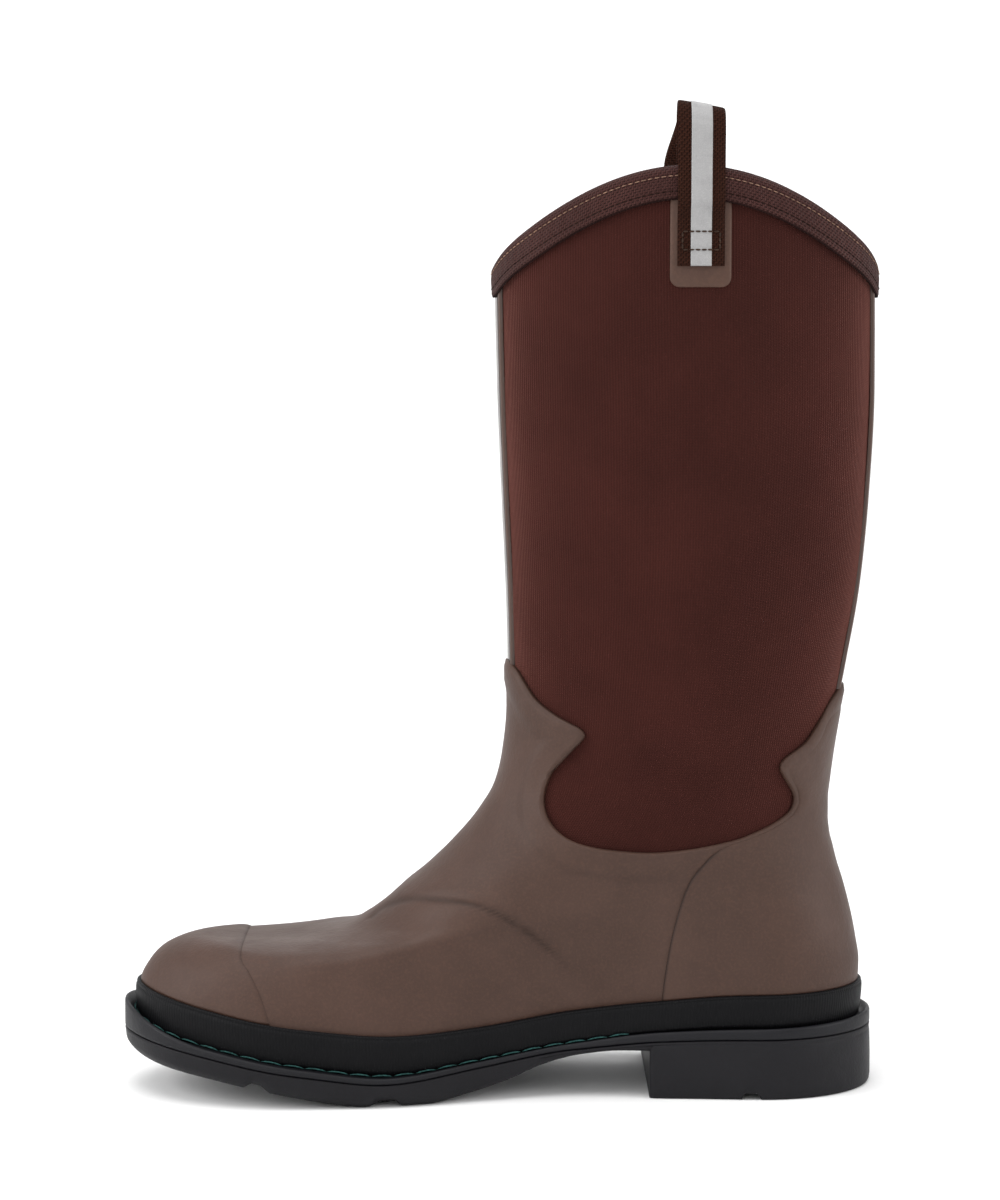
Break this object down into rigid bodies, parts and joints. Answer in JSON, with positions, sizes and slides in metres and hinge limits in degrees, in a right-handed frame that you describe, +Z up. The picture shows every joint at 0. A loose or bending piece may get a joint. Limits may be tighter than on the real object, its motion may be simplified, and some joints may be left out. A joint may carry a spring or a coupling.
{
  "type": "steel toe work boot",
  "caption": "Tall pull-on work boot with a moulded rubber lower, neoprene shaft, western edge, welted sole with block heel, hidden steel toe cap and webbing pull loops.",
  "frame": {"origin": "middle of the bounding box in X and Y, on the ground in Z", "axes": "+Z up, +X towards the heel (the toe points to -X), +Y towards the lateral side of this right boot"},
  "size_m": [0.3136, 0.1196, 0.4057],
  "materials": {
    "brown_rubber": "satin moulded rubber with a fine leather-like grain",
    "black_rubber": "matte black rubber",
    "neoprene": "knit-faced neoprene, fine vertical ribs",
    "lining": "dark knitted lining",
    "steel": "plain steel",
    "board": "pressed fibre board",
    "foam": "dense foam",
    "woven_tape": "ribbed woven binding",
    "webbing": "coarse woven webbing",
    "gloss_tape": "glossy seam tape",
    "reflective": "reflective grey band",
    "green_thread": "waxed green thread",
    "tan_thread": "light brown sewing thread"
  },
  "bodies": {
    "boot": {"outsole": "black_rubber", "welt_strip": "black_rubber", "welt_thread": "green_thread", "foxing_band": "black_rubber", "sole_filler": "foam", "steel_shank": "steel", "insole_board": "board", "vamp_shell": "brown_rubber", "toe_cover": "brown_rubber", "heel_cover": "brown_rubber", "toe_cap": "steel", "toe_cap_guard": "black_rubber", "counter_stiffener": "board", "foot_sock": "neoprene", "foot_lining": "lining", "shaft_panel_medial": "neoprene", "shaft_panel_lateral": "neoprene", "shaft_lining": "lining", "front_seam_tape": "gloss_tape", "back_seam_tape": "gloss_tape", "collar_binding": "woven_tape", "binding_thread_upper": "tan_thread", "binding_thread_lower": "tan_thread", "loop_patch_medial": "brown_rubber", "loop_outer_leg_medial": "webbing", "loop_inner_leg_medial": "webbing", "loop_stripe_medial": "reflective", "loop_stitching_medial": "tan_thread", "loop_patch_lateral": "brown_rubber", "loop_outer_leg_lateral": "webbing", "loop_inner_leg_lateral": "webbing", "loop_stripe_lateral": "reflective", "loop_stitching_lateral": "tan_thread"},
    "removable_footbed": {"footbed": "foam"},
    "pull_loop_medial": {"loop_arch_medial": "webbing", "arch_stripe_medial": "reflective"},
    "pull_loop_lateral": {"loop_arch_lateral": "webbing", "arch_stripe_lateral": "reflective"}
  },
  "joints": [
    {"name": "pull_loop_medial_flop", "type": "hinge", "parent": "boot", "child": "pull_loop_medial", "pos_m": [0.08035, -0.0509, 0.3806], "axis": [1, 0, 0], "range_deg": [-25, 25], "stiffness_Nm_per_rad": 0.01},
    {"name": "pull_loop_lateral_flop", "type": "hinge", "parent": "boot", "child": "pull_loop_lateral", "pos_m": [0.08035, 0.0509, 0.3806], "axis": [-1, 0, 0], "range_deg": [-25, 25], "stiffness_Nm_per_rad": 0.01},
    {"name": "footbed_lift", "type": "hinge", "parent": "boot", "child": "removable_footbed", "pos_m": [-0.1345, -0.006, 0.0325], "axis": [0, -1, 0], "range_deg": [0, 5]}
  ]
}
